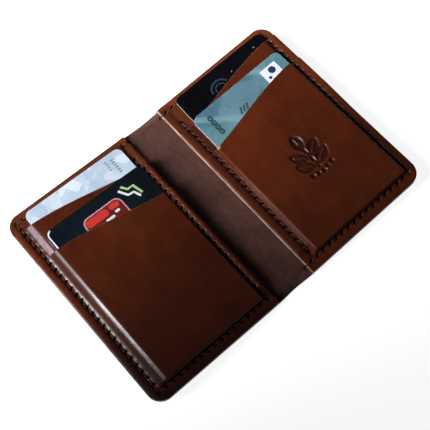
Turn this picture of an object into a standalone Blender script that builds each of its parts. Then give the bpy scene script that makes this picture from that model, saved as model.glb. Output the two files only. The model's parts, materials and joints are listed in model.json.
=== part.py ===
"""Bifold card wallet, lying open with four cards in it.

Sizes are in metres. +X runs from the left panel to the right one, +Y towards
the pocket mouths and +Z out of the inside of the open wallet. The origin is
the middle of the spine's outer face.

Each panel is drawn flat, in the same axes, and hangs on an empty that lies on
its fold line. The empty's small turn about Y gives the shallow V in which the
open wallet comes to rest. Functions of a panel take x as the distance from
the middle of the spine, so that the two panels share them; SIDE mirrors it.
"""

import math

import bmesh
import bpy
from mathutils import Matrix, Vector

MM = 0.001

# Driving dimensions of the leather
HEIGHT = 110.0 * MM          # along the fold
OPEN_WIDTH = 161.0 * MM      # both panels laid flat
CORNER_RADIUS = 7.0 * MM
SHELL_THICKNESS = 1.2 * MM
BASE_THICKNESS = 1.0 * MM
POCKET_THICKNESS = 0.8 * MM
BASE_EDGE = 10.35 * MM       # raw edge of each backing panel, from the middle
REST_TILT = math.radians(3.8)

# Standard payment card
CARD_WIDTH = 53.98 * MM
CARD_LENGTH = 85.6 * MM
CARD_THICKNESS = 0.76 * MM
CARD_RADIUS = 3.18 * MM

# Clearances between neighbours
GAP = 0.25 * MM              # between stacked layers
FOLD_GAP = 0.15 * MM         # from the fold line to each piece beside it
CLOSED_GAP = 0.5 * MM        # from a closed panel to the middle plane
RAMP_GAP = 0.1 * MM          # from a card's side to the moulded ramp
THREAD_GAP = 0.1 * MM        # from a stitch to the leather under it

# Stitching
HOLE_SIZE = 0.9 * MM
THREAD_RADIUS = 0.25 * MM
FINE_THREAD_RADIUS = 0.2 * MM
PITCH = 3.9 * MM
SIDE_SEAM_INSET = 4.45 * MM
BOTTOM_SEAM_INSET = 4.6 * MM
TOP_SEAM_INSET = 3.7 * MM
WRAP_REACH = 0.6 * MM        # from the base's raw edge to the hole beside it
INNER_SEAM_TOP = 42.0 * MM
INNER_SEAM_BOTTOM = -46.4 * MM
RAMP_OFFSET = 0.55 * MM      # from a seam line to the foot of the moulding
GROOVE_WIDTH = 0.9 * MM
GROOVE_DEPTH = 0.55 * MM

# Pocket mouths: a gentle S, low at the spine and high at the outer side
MOUTH_LOW = 18.2 * MM
MOUTH_RISE = 9.8 * MM
MOUTH_START = 15.0 * MM
MOUTH_END = 72.0 * MM
MOUTH_SKEW = 0.9
MOUTH_STRAIGHT = 0.45        # share of straight slope in the S
REAR_MOUTH_OFFSET = 18.0 * MM

# Rear pocket: ears in the side seams, own seam under the card
EAR_BOTTOM = 12.0 * MM
EAR_STEP = 3.5 * MM          # length in which the front pocket comes down below the ears
REAR_SEAM_Y = -35.3 * MM
REAR_BOTTOM_Y = -38.0 * MM
REAR_SEAM_MARGIN = 2.5 * MM

# Levels of the stack, each the underside of its layer
Z_BASE = SHELL_THICKNESS + GAP
Z_FLANGE = Z_BASE + BASE_THICKNESS + GAP
Z_REAR_CARD = Z_FLANGE
Z_REAR = Z_REAR_CARD + CARD_THICKNESS + GAP
Z_FRONT_CARD = Z_REAR + POCKET_THICKNESS + GAP
Z_FRONT = Z_FRONT_CARD + CARD_THICKNESS + GAP
Z_EAR = Z_FLANGE + POCKET_THICKNESS + GAP
STACK = Z_FRONT + POCKET_THICKNESS

# The fold lines lie on the shell's inner face, as far out as the stack is high
HINGE_Z = SHELL_THICKNESS
HINGE_X = STACK - HINGE_Z + CLOSED_GAP

HALF_WIDTH = OPEN_WIDTH / 2
HALF_HEIGHT = HEIGHT / 2
SIDE_SEAM_X = HALF_WIDTH - SIDE_SEAM_INSET
BOTTOM_SEAM_Y = BOTTOM_SEAM_INSET - HALF_HEIGHT
TOP_SEAM_Y = HALF_HEIGHT - TOP_SEAM_INSET

# What differs between the panels: side, inner seam, and each card's centre
# x, top edge y and turn in its pocket
PANELS = {
    "left": {
        "side": -1,
        "inner_seam": 14.1 * MM,
        "rear_card": (44.1 * MM, 51.9 * MM, 0.0),
        "front_card": (43.2 * MM, 37.2 * MM, 0.0),
    },
    "right": {
        "side": 1,
        "inner_seam": 15.6 * MM,
        "rear_card": (47.2 * MM, 52.4 * MM, 0.0),
        "front_card": (46.5 * MM, 37.8 * MM, math.radians(0.6)),
    },
}

COLOURS = {
    "shell": ((0.085, 0.026, 0.012), 0.45),
    "base": ((0.120, 0.035, 0.014), 0.40),
    "pocket": ((0.135, 0.038, 0.013), 0.32),
    "thread": ((0.060, 0.022, 0.012), 0.60),
    "silver": ((0.62, 0.68, 0.76), 0.30),
    "black": ((0.010, 0.012, 0.016), 0.30),
    "slate": ((0.012, 0.012, 0.020), 0.30),
    "teal": ((0.22, 0.34, 0.38), 0.30),
}
CARD_COLOURS = {
    "left_rear_card": "silver",
    "left_front_card": "black",
    "right_rear_card": "slate",
    "right_front_card": "teal",
}


# --- scene helpers -----------------------------------------------------------

def clear_scene():
    for obj in list(bpy.data.objects):
        bpy.data.objects.remove(obj)


def new_collection(name):
    collection = bpy.data.collections.new(name)
    bpy.context.scene.collection.children.link(collection)
    return collection


def new_material(name):
    colour, roughness = COLOURS[name]
    material = bpy.data.materials.new(name)
    material.use_nodes = True
    shader = material.node_tree.nodes["Principled BSDF"]
    shader.inputs["Base Color"].default_value = (*colour, 1.0)
    shader.inputs["Roughness"].default_value = roughness
    shader.inputs["Metallic"].default_value = 0.0
    return material


def mesh_object(name, bm, collection):
    mesh = bpy.data.meshes.new(name)
    bm.to_mesh(mesh)
    bm.free()
    obj = bpy.data.objects.new(name, mesh)
    collection.objects.link(obj)
    return obj


def hang(obj, hinge, location=(0.0, 0.0, 0.0), turn=0.0):
    """Parent a piece that is drawn in flat-panel axes to its fold line."""
    obj.parent = hinge
    obj.location = Vector(location) - hinge.location
    obj.rotation_euler = (0.0, 0.0, turn)


def cut(obj, cutter):
    modifier = obj.modifiers.new("cut_" + cutter.name, "BOOLEAN")
    modifier.operation = "DIFFERENCE"
    modifier.object = cutter


def finish_cutter(cutter, hinge):
    hang(cutter, hinge)
    cutter.hide_render = True
    cutter.display_type = "WIRE"


# --- shape helpers -----------------------------------------------------------

def smooth(value):
    value = min(1.0, max(0.0, value))
    return value * value * (3.0 - 2.0 * value)


def arc(centre, radius, start, end, steps):
    """Points of an arc, angles in degrees."""
    points = []
    for step in range(steps + 1):
        angle = math.radians(start + (end - start) * step / steps)
        points.append((centre[0] + radius * math.cos(angle),
                       centre[1] + radius * math.sin(angle)))
    return points


def panel_outline(side, inner_edge):
    """Half of the open wallet: square at the fold, rounded at its outer corners."""
    x = HALF_WIDTH - CORNER_RADIUS
    y = HALF_HEIGHT - CORNER_RADIUS
    points = [(inner_edge, HALF_HEIGHT), (inner_edge, -HALF_HEIGHT)]
    points += arc((x, -y), CORNER_RADIUS, -90.0, 0.0, 6)
    points += arc((x, y), CORNER_RADIUS, 0.0, 90.0, 6)
    return [(side * px, py) for px, py in points]


def card_outline():
    x = CARD_WIDTH / 2 - CARD_RADIUS
    y = CARD_LENGTH / 2 - CARD_RADIUS
    points = []
    for corner, (sx, sy) in enumerate(((1, 1), (-1, 1), (-1, -1), (1, -1))):
        points += arc((sx * x, sy * y), CARD_RADIUS, 90.0 * corner, 90.0 * corner + 90.0, 5)
    return points


def flat_sheet(name, outline, z_bottom, thickness, collection):
    """A flat piece with the given outline, as a mesh that can be cut."""
    curve = bpy.data.curves.new(name, "CURVE")
    curve.dimensions = "2D"
    curve.fill_mode = "BOTH"
    curve.extrude = thickness / 2
    spline = curve.splines.new("POLY")
    spline.points.add(len(outline) - 1)
    for point, (x, y) in zip(spline.points, outline):
        point.co = (x, y, 0.0, 1.0)
    spline.use_cyclic_u = True
    drawn = bpy.data.objects.new(name + "_outline", curve)
    collection.objects.link(drawn)
    graph = bpy.context.evaluated_depsgraph_get()
    mesh = bpy.data.meshes.new_from_object(drawn.evaluated_get(graph))
    bpy.data.objects.remove(drawn)
    bm = bmesh.new()
    bm.from_mesh(mesh)
    bmesh.ops.remove_doubles(bm, verts=bm.verts, dist=0.001 * MM)
    bmesh.ops.translate(bm, verts=bm.verts, vec=(0.0, 0.0, z_bottom + thickness / 2))
    bmesh.ops.recalc_face_normals(bm, faces=bm.faces)
    return mesh_object(name, bm, collection)


def mapped_sheet(name, columns, rows_at, underside, side, thickness, collection):
    """A sheet on a grid: columns are x values, rows_at(x) the y values there.

    The grid follows underside(x, y), and its extrusion upwards gives the
    leather its thickness.
    """
    column_count = len(columns) - 1
    row_count = len(rows_at(columns[0])) - 1
    bm = bmesh.new()
    bmesh.ops.create_grid(bm, x_segments=column_count, y_segments=row_count, size=1.0)
    for vert in bm.verts:
        x = columns[round((vert.co.x + 1.0) / 2.0 * column_count)]
        y = rows_at(x)[round((vert.co.y + 1.0) / 2.0 * row_count)]
        vert.co = (side * x, y, underside(x, y))
    extruded = bmesh.ops.extrude_face_region(bm, geom=bm.faces[:])
    top = [item for item in extruded["geom"] if isinstance(item, bmesh.types.BMVert)]
    bmesh.ops.translate(bm, verts=top, vec=(0.0, 0.0, thickness))
    bmesh.ops.recalc_face_normals(bm, faces=bm.faces)
    return mesh_object(name, bm, collection)


def boxes(name, centres_and_sizes, collection):
    """One cutter made of separate boxes."""
    bm = bmesh.new()
    for centre, size in centres_and_sizes:
        matrix = Matrix.Translation(centre) @ Matrix.Diagonal((*size, 1.0))
        bmesh.ops.create_cube(bm, size=1.0, matrix=matrix)
    return mesh_object(name, bm, collection)


# --- pocket geometry ---------------------------------------------------------

def front_mouth(x):
    run = min(1.0, max(0.0, (x - MOUTH_START) / (MOUTH_END - MOUTH_START))) ** MOUTH_SKEW
    wave = 0.5 - 0.5 * math.cos(math.pi * run)
    return MOUTH_LOW + MOUTH_RISE * (MOUTH_STRAIGHT * run + (1.0 - MOUTH_STRAIGHT) * wave)


def rear_mouth(x):
    return front_mouth(x) + REAR_MOUTH_OFFSET


def bottom_edge(x):
    """Lower edge of the panel, with its rounded outer corner."""
    past = max(0.0, x - (HALF_WIDTH - CORNER_RADIUS))
    rise = CORNER_RADIUS - math.sqrt(max(0.0, CORNER_RADIUS ** 2 - past ** 2))
    return -HALF_HEIGHT + rise


def card_sides(card):
    """x of a card's inner and outer side, widened by its turn in the pocket."""
    centre, _, turn = card
    half = CARD_WIDTH / 2 + CARD_LENGTH / 2 * math.sin(turn)
    return centre - half, centre + half


def across(panel, card, x):
    """Height share of the moulding across the pocket: 0 in the seams, 1 over the card."""
    inner, outer = card_sides(panel[card])
    foot_in = panel["inner_seam"] + RAMP_OFFSET
    foot_out = SIDE_SEAM_X - RAMP_OFFSET
    rise_in = smooth((x - foot_in) / (inner - RAMP_GAP - foot_in))
    rise_out = smooth((foot_out - x) / (foot_out - outer - RAMP_GAP))
    return min(rise_in, rise_out)


def card_bottom(card):
    return card[1] - CARD_LENGTH


def along(y, foot, card):
    """Height share of the moulding along the pocket."""
    return smooth((y - foot) / (card_bottom(card) - RAMP_GAP - foot))


def rear_foot():
    return REAR_SEAM_Y + RAMP_OFFSET


def front_foot():
    return BOTTOM_SEAM_Y + RAMP_OFFSET


def rear_underside(panel, x, y):
    share = across(panel, "rear_card", x) * along(y, rear_foot(), panel["rear_card"])
    return Z_FLANGE + (Z_REAR - Z_FLANGE) * share


def front_flange(y):
    """The front pocket's seam allowance lies on the ears, and on the base below them."""
    return Z_FLANGE + (Z_EAR - Z_FLANGE) * min(1.0, max(0.0, (y - EAR_BOTTOM) / EAR_STEP + 1.0))


def front_underside(panel, x, y):
    share = across(panel, "front_card", x) * along(y, front_foot(), panel["front_card"])
    flange = front_flange(y)
    return flange + (Z_FRONT - flange) * share


def pocket_columns(panel, card):
    """x values of the pocket grid: close together where the leather climbs."""
    inner, outer = card_sides(panel[card])
    foot_in = panel["inner_seam"] + RAMP_OFFSET
    foot_out = SIDE_SEAM_X - RAMP_OFFSET
    top_in = inner - RAMP_GAP
    top_out = outer + RAMP_GAP
    columns = [BASE_EDGE, foot_in, (foot_in + top_in) / 2, top_in]
    spans = 6
    columns += [top_in + (top_out - top_in) * step / spans for step in range(1, spans)]
    columns += [top_out + (foot_out - top_out) * step / 3 for step in range(4)]
    corner = HALF_WIDTH - foot_out
    columns += [HALF_WIDTH - corner * share for share in (0.65, 0.3, 0.1, 0.0)]
    return columns


def rear_rows(panel, x):
    bottom = card_bottom(panel["rear_card"]) - RAMP_GAP
    return [REAR_BOTTOM_Y, rear_foot(), bottom, EAR_BOTTOM, rear_mouth(x)]


def front_rows(panel, x):
    foot = front_foot()
    bottom = card_bottom(panel["front_card"]) - RAMP_GAP
    edge = bottom_edge(x)
    low = [edge, foot, (foot + bottom) / 2, bottom]
    low = [max(y, edge + 0.3 * MM * step) for step, y in enumerate(low)]
    return low + [EAR_BOTTOM - EAR_STEP, EAR_BOTTOM, front_mouth(x)]


# --- seams -------------------------------------------------------------------

def row(start, end, count):
    """Evenly spaced holes from start to end, count steps apart."""
    return [(start[0] + (end[0] - start[0]) * step / count,
             start[1] + (end[1] - start[1]) * step / count) for step in range(count + 1)]


def steps_for(length):
    return round(length / PITCH)


def rim_holes():
    """Bottom, outer side and top of a panel, starting beyond the base's raw edge."""
    start = BASE_EDGE - WRAP_REACH
    across_steps = steps_for(SIDE_SEAM_X - start)
    up_steps = steps_for(TOP_SEAM_Y - BOTTOM_SEAM_Y) + 1
    bottom = row((start, BOTTOM_SEAM_Y), (SIDE_SEAM_X, BOTTOM_SEAM_Y), across_steps)
    outer = row((SIDE_SEAM_X, BOTTOM_SEAM_Y), (SIDE_SEAM_X, TOP_SEAM_Y), up_steps)
    top = row((SIDE_SEAM_X, TOP_SEAM_Y), (start, TOP_SEAM_Y), across_steps)
    return bottom + outer[1:] + top[1:]


def inner_holes(panel):
    x = panel["inner_seam"]
    return row((x, INNER_SEAM_BOTTOM), (x, INNER_SEAM_TOP),
               steps_for(INNER_SEAM_TOP - INNER_SEAM_BOTTOM))


def rear_body(panel):
    """x range of the rear pocket below its ears."""
    inner, outer = card_sides(panel["rear_card"])
    return inner - RAMP_GAP, outer + RAMP_GAP


def pocket_holes(panel):
    inner, outer = rear_body(panel)
    inner += REAR_SEAM_MARGIN
    outer -= REAR_SEAM_MARGIN
    return row((inner, REAR_SEAM_Y), (outer, REAR_SEAM_Y), steps_for(outer - inner))


def seam_level(x, y):
    """Top of the leather at a hole of the rim or inner seam."""
    if x < BASE_EDGE:
        return SHELL_THICKNESS
    if y > TOP_SEAM_Y - MM:
        return Z_FLANGE - GAP - GROOVE_DEPTH + THREAD_GAP
    if y < front_mouth(x):
        return front_flange(y) + POCKET_THICKNESS
    if y < rear_mouth(x):
        return Z_FLANGE + POCKET_THICKNESS
    return Z_FLANGE - GAP


def stitch_path(holes, side, upper_at, lower, lift):
    """One strand that goes up one hole, along the top, and down the next."""
    path = []
    level = lower
    for index, (x, y) in enumerate(holes):
        following = holes[min(index + 1, len(holes) - 1)]
        if index % 2 == 0:
            arriving = lower
            leaving = max(upper_at(x, y), upper_at(*following)) + lift
        else:
            arriving = level
            leaving = lower
        path.append((side * x, y, arriving))
        path.append((side * x, y, leaving))
        level = leaving
    return path


def thread(name, path, radius, collection):
    curve = bpy.data.curves.new(name, "CURVE")
    curve.dimensions = "3D"
    curve.bevel_depth = radius
    curve.bevel_resolution = 0
    curve.use_fill_caps = True
    spline = curve.splines.new("POLY")
    spline.points.add(len(path) - 1)
    for point, place in zip(spline.points, path):
        point.co = (*place, 1.0)
    obj = bpy.data.objects.new(name, curve)
    collection.objects.link(obj)
    return obj


# --- pieces ------------------------------------------------------------------

def make_hinge(name, side, collection):
    hinge = bpy.data.objects.new(name + "_fold_line", None)
    hinge.location = (side * HINGE_X, 0.0, HINGE_Z)
    hinge.rotation_euler = (0.0, -side * REST_TILT, 0.0)
    collection.objects.link(hinge)
    return hinge


def make_cutters(name, panel, hinge, collection):
    side = panel["side"]
    depth = 4 * STACK
    hole = (HOLE_SIZE, HOLE_SIZE, depth)
    rim = [((side * x, y, 0.0), hole) for x, y in rim_holes() + inner_holes(panel)]
    pocket = [((side * x, y, 0.0), hole) for x, y in pocket_holes(panel)]

    groove_start = BASE_EDGE - MM
    groove_end = SIDE_SEAM_X + GROOVE_WIDTH / 2
    top_groove = ((side * (groove_start + groove_end) / 2, TOP_SEAM_Y, Z_FLANGE - GAP),
                  (groove_end - groove_start, GROOVE_WIDTH, 2 * GROOVE_DEPTH))
    inner, outer = rear_body(panel)
    low_groove = ((side * (inner + outer) / 2, REAR_SEAM_Y, Z_BASE),
                  (outer - inner, GROOVE_WIDTH, 2 * GROOVE_DEPTH))

    below = EAR_BOTTOM - HEIGHT / 2
    wide = 30.0 * MM
    ears = [((side * (inner - wide / 2), below, Z_FLANGE), (wide, HEIGHT, depth)),
            ((side * (outer + wide / 2), below, Z_FLANGE), (wide, HEIGHT, depth))]
    cutters = {
        "holes": boxes(name + "_seam_holes", rim, collection),
        "pocket_holes": boxes(name + "_pocket_seam_holes", pocket, collection),
        "grooves": boxes(name + "_grooves", [top_groove, low_groove], collection),
        "ears": boxes(name + "_ear_trim", ears, collection),
    }
    for cutter in cutters.values():
        finish_cutter(cutter, hinge)
    return cutters


def make_leather(name, panel, hinge, cutters, collection, materials):
    side = panel["side"]
    cover = flat_sheet(name + "_cover", panel_outline(side, HINGE_X + FOLD_GAP),
                       0.0, SHELL_THICKNESS, collection)
    cut(cover, cutters["holes"])

    base = flat_sheet(name + "_base", panel_outline(side, BASE_EDGE),
                      Z_BASE, BASE_THICKNESS, collection)
    cut(base, cutters["holes"])
    cut(base, cutters["pocket_holes"])
    cut(base, cutters["grooves"])

    rear = mapped_sheet(name + "_rear_pocket", pocket_columns(panel, "rear_card"),
                        lambda x: rear_rows(panel, x),
                        lambda x, y: rear_underside(panel, x, y),
                        side, POCKET_THICKNESS, collection)
    cut(rear, cutters["ears"])
    cut(rear, cutters["holes"])
    cut(rear, cutters["pocket_holes"])

    front = mapped_sheet(name + "_front_pocket", pocket_columns(panel, "front_card"),
                         lambda x: front_rows(panel, x),
                         lambda x, y: front_underside(panel, x, y),
                         side, POCKET_THICKNESS, collection)
    cut(front, cutters["holes"])

    for obj, material in ((cover, "shell"), (base, "base"), (rear, "pocket"), (front, "pocket")):
        obj.data.materials.append(materials[material])
        hang(obj, hinge)


def make_threads(name, panel, hinge, collection, materials):
    side = panel["side"]
    lift = THREAD_GAP + THREAD_RADIUS
    rim = stitch_path(rim_holes(), side, seam_level, -lift, lift)
    inner = stitch_path(inner_holes(panel), side, seam_level, -lift, lift)
    fine = THREAD_GAP + FINE_THREAD_RADIUS
    flange_top = Z_FLANGE + POCKET_THICKNESS
    pocket = stitch_path(pocket_holes(panel), side, lambda x, y: flange_top,
                         Z_BASE + GROOVE_DEPTH - fine, fine)
    for part, path, radius in (("_rim_thread", rim, THREAD_RADIUS),
                               ("_inner_thread", inner, THREAD_RADIUS),
                               ("_pocket_thread", pocket, FINE_THREAD_RADIUS)):
        obj = thread(name + part, path, radius, collection)
        obj.data.materials.append(materials["thread"])
        hang(obj, hinge)


def make_cards(name, panel, hinge, collection, materials):
    for card, level in (("rear_card", Z_REAR_CARD), ("front_card", Z_FRONT_CARD)):
        x, top, turn = panel[card]
        node = name + "_" + card
        obj = flat_sheet(node, card_outline(), -CARD_THICKNESS / 2, CARD_THICKNESS, collection)
        obj.data.materials.append(materials[CARD_COLOURS[node]])
        centre = (panel["side"] * x, top - CARD_LENGTH / 2, level + CARD_THICKNESS / 2)
        hang(obj, hinge, centre, turn)


def make_spine(collection, materials):
    x = HINGE_X - FOLD_GAP
    outline = [(x, -HALF_HEIGHT), (x, HALF_HEIGHT), (-x, HALF_HEIGHT), (-x, -HALF_HEIGHT)]
    spine = flat_sheet("spine", outline, 0.0, SHELL_THICKNESS, collection)
    spine.data.materials.append(materials["shell"])


def build():
    clear_scene()
    wallet = new_collection("wallet")
    guides = new_collection("cutters")
    materials = {name: new_material(name) for name in COLOURS}
    make_spine(wallet, materials)
    for name, panel in PANELS.items():
        hinge = make_hinge(name, panel["side"], guides)
        cutters = make_cutters(name, panel, hinge, guides)
        make_leather(name, panel, hinge, cutters, wallet, materials)
        make_threads(name, panel, hinge, wallet, materials)
        make_cards(name, panel, hinge, wallet, materials)


build()
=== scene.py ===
"""Looks of the bifold card wallet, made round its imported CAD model.

Lengths are in millimetres. A panel is drawn flat: u runs from the middle of
the spine outwards, v towards the pocket mouths and w out of the inside of the
wallet. Panel.place() mirrors that to the panel's side, turns it about the
fold line into the shallow V of the open wallet, and gives metres.
"""

import json
import math

import bpy
import numpy as np
from mathutils import Matrix, Vector


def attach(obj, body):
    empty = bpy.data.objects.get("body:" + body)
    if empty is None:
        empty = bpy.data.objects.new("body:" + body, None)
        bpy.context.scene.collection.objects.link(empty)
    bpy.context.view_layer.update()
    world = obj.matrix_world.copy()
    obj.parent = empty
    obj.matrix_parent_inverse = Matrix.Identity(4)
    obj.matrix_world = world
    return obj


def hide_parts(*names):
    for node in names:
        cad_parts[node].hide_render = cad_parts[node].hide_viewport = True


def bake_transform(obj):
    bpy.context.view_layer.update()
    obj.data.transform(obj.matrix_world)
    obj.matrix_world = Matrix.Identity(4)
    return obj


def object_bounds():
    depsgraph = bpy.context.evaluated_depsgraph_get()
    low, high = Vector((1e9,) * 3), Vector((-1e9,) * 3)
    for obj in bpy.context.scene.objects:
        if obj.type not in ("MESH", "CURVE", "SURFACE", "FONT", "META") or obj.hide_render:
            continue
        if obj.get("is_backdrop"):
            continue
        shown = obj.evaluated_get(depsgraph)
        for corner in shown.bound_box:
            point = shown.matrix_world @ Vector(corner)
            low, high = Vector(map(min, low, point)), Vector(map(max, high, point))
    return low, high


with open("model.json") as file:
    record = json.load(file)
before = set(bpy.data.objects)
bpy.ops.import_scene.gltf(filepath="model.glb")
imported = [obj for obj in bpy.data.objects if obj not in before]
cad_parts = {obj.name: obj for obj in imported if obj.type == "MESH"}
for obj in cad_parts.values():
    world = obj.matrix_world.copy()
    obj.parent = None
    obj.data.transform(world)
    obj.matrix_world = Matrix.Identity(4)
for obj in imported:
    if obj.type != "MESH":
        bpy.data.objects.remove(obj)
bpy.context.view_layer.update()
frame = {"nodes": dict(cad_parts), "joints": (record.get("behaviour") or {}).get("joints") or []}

MM = 0.001  # one millimetre in the frame's metres

# Stitching
PITCH = 3.9
CAD_THREAD = 0.25  # how far a thread node's box reaches past its seam line
THREAD_RADIUS = 0.31
FINE_THREAD_RADIUS = 0.26
PLIES = 3
PLY_RELIEF = 0.13  # of the thread's radius
THREAD_SEAT = 0.72  # share of the radius by which a thread's middle lies proud
THREAD_ENTRY = 0.42  # length over which a stitch dives into its hole
LAY_LENGTH = 1.5  # of thread, for one turn of its plies
SINK = 1.15  # how deep a stitch's ends go into the holes
SLOT_LENGTH = 2.2
SLOT_WIDTH = 1.25
SLOT_ANGLE = math.radians(52)  # between a slot and its seam
STITCH_SLANT = 0.45  # how far a stitch ends beside the seam line

# Pocket mouths: an S between the heights that the frame gives
MOUTH_START = 15.0
MOUTH_END = 72.0
MOUTH_SKEW = 0.9  # below 1, the S rises early
MOUTH_STRAIGHT = 0.45  # share of straight slope in the S

# Leather
CORNER_RADIUS = 7.0
CELL = 0.65  # size of a mesh cell on a plain stretch
SEAM_CELL = 0.3
EDGE_CELL = 0.06
MOUTH_CELL = 0.05
CONTACT = 0.02  # left between layers that are glued together
RAMP_OFFSET = 0.55  # from a seam to the foot of the pressed ramp
BEND = 0.30  # share of the outer ramp taken by each of its two bends
SLACK = 0.80  # slope between the bends, over the ramp's mean slope
REAR_FLAT = 0.4  # share of the rear pocket's outer ramp that lies flat
WELT = 1.6  # how far the thick inner allowance stands up
WELT_ROUND = {"left": 2.0, "right": 0.7}
SET_BACK = {"left": 0.0, "right": 0.5}  # of the pockets from the base's inner edge
EAR_STEP = 3.5  # in which the front pocket climbs the ears' lower edge
EAR_CLIMB = 26.0  # the same on its outside, which the press evened out
TRENCH = 0.30  # groove of a seam
TRENCH_WIDTH = 0.75
DIP = 0.50  # hollow round a stitch hole
DIP_WIDTH = 1.05
PILLOW = 0.34  # swelling of a seam allowance
CROWN = 0.22  # bulge of the front pocket over its card
RIPPLE = 0.05  # unevenness of hand-worked leather
TOP_GROOVE = 0.42  # of the seam beside the base's upper rim
FINE_GROOVE = 0.45  # in the base, for the rear pocket's own seam
RAW_SKIN = 0.18  # width of raw leather that a rounded edge shows
LIP_SKIN = 0.16
CUT_SKIN = 0.20
SHELL_ROUND = 0.42  # how far in the outside of the shell's rim is rounded
RIM_ROUND = 0.40
EDGE_ROUND = 0.25
LIP_ROUND = 0.20
BACK_LIP_ROUND = 0.12
HIDDEN_ROUND = 0.08  # of an edge that lies on another layer
CORNER_BAND = 12.0  # rows beside the rim that follow its round corners
TURN_INSIDE = 2.6  # how far the fold's turn reaches into the spine
TURN_OUTSIDE = 3.4  # and into the panel
WAIST = 0.5  # how far the spine's ends are drawn in
FRAY_REACH = 1.1  # of the frayed corner of the right front pocket's mouth

# Emblem pressed into the right pocket
EMBLEM_CENTRE = (47.5, -12.5)
EMBLEM_HALF = (9.6, 12.0)
EMBLEM_DEPTH = 0.60

# Cards
CARD_RADIUS = 3.18
CARD_WIDTH = 53.98  # of the short side that shows
INK_DEPTH = 0.05  # how deep a mark's inlay goes into the card
CARD_SOFTENING = 0.09  # of a card's edges
CARD_SKIN = 0.11  # printed layer on each side of the white core
INK = 0.012  # how far a mark stands proud

# The camera stands at the photograph's viewing angle
CAMERA_TARGET = (-4.34, -4.97, 4.0)
CAMERA_AZIMUTH = -39.61
CAMERA_ELEVATION = 69.22
CAMERA_DISTANCE = 375.7
CAMERA_ROLL = -2.03
CAMERA_LENS = 68.17


# --- small mathematics -------------------------------------------------------

def unit(value):
    return np.clip(value, 0.0, 1.0)


def smooth(value):
    value = unit(value)
    return value * value * (3.0 - 2.0 * value)


def bell(distance, width):
    return np.exp(-(distance / width) ** 2)


def swell(share):
    """Rises from 0 and falls back to it, full in the middle."""
    return np.sin(math.pi * unit(share)) ** 0.8


def ripple(u, v, wavelength, seed, waves=9):
    """Smooth noise between about -1 and 1: a sum of waves in seeded directions."""
    draw = np.random.default_rng(seed)
    total = np.zeros(np.broadcast(u, v).shape)
    for _ in range(waves):
        angle, phase = draw.uniform(0.0, 2.0 * math.pi, 2)
        length = wavelength * draw.uniform(0.7, 1.6)
        run = u * math.cos(angle) + v * math.sin(angle)
        total += np.sin(2.0 * math.pi / length * run + phase)
    return total / math.sqrt(waves)


def graded(low, high, marks, growth=0.3):
    """Places from low to high, close together at the marks, which are (place, spacing)."""
    places = [low]
    while places[-1] < high:
        spacings = [spacing + growth * abs(places[-1] - mark) for mark, spacing in marks]
        places.append(places[-1] + min([CELL] + spacings))
    places = np.array(places)
    return low + (places - low) * (high - low) / (places[-1] - low)


def formed(share):
    """Profile of a pressed ramp: a bend at the seam, a slack stretch and a bend at the card."""
    bends = smooth(share / BEND) + smooth((share - 1.0 + BEND) / BEND)
    return SLACK * unit(share) + (1.0 - SLACK) / 2.0 * bends


def crested(share):
    """Profile of a low ramp that falls away right beside the card."""
    return formed((share - REAR_FLAT) / (1.0 - REAR_FLAT))


def round_off(distance, radius):
    """How far a rounded edge has come down at this distance from the outline."""
    inside = unit(1.0 - distance / radius)
    return radius * (1.0 - np.sqrt(1.0 - inside ** 2))


def row(start, end, extra=0):
    """Holes from start to end, about a pitch apart, with extra ones squeezed in."""
    start, end = np.array(start), np.array(end)
    count = round(np.linalg.norm(end - start) / PITCH) + extra
    return start + (end - start) * np.linspace(0.0, 1.0, count + 1)[:, None]


def heading(start, end):
    """Unit vectors along a stroke and to its left."""
    along = (end - start) / np.linalg.norm(end - start)
    return along, np.array([-along[1], along[0]])


def outline_distance(u, v, half_width, half_height, radius=0.0):
    """Distance inside a box about v = 0 that is open towards u = 0, with rounded corners."""
    past_u, past_v = u - (half_width - radius), np.abs(v) - (half_height - radius)
    outside = np.hypot(np.maximum(past_u, 0.0), np.maximum(past_v, 0.0))
    return radius - outside - np.minimum(np.maximum(past_u, past_v), 0.0)


def arc(x, y, radius, start, end, steps):
    """Points round (x, y), the angles in degrees."""
    angles = np.radians(np.linspace(start, end, steps))
    return [(x + radius * math.cos(a), y + radius * math.sin(a)) for a in angles]


# --- the panels, measured from the frame -------------------------------------

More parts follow.
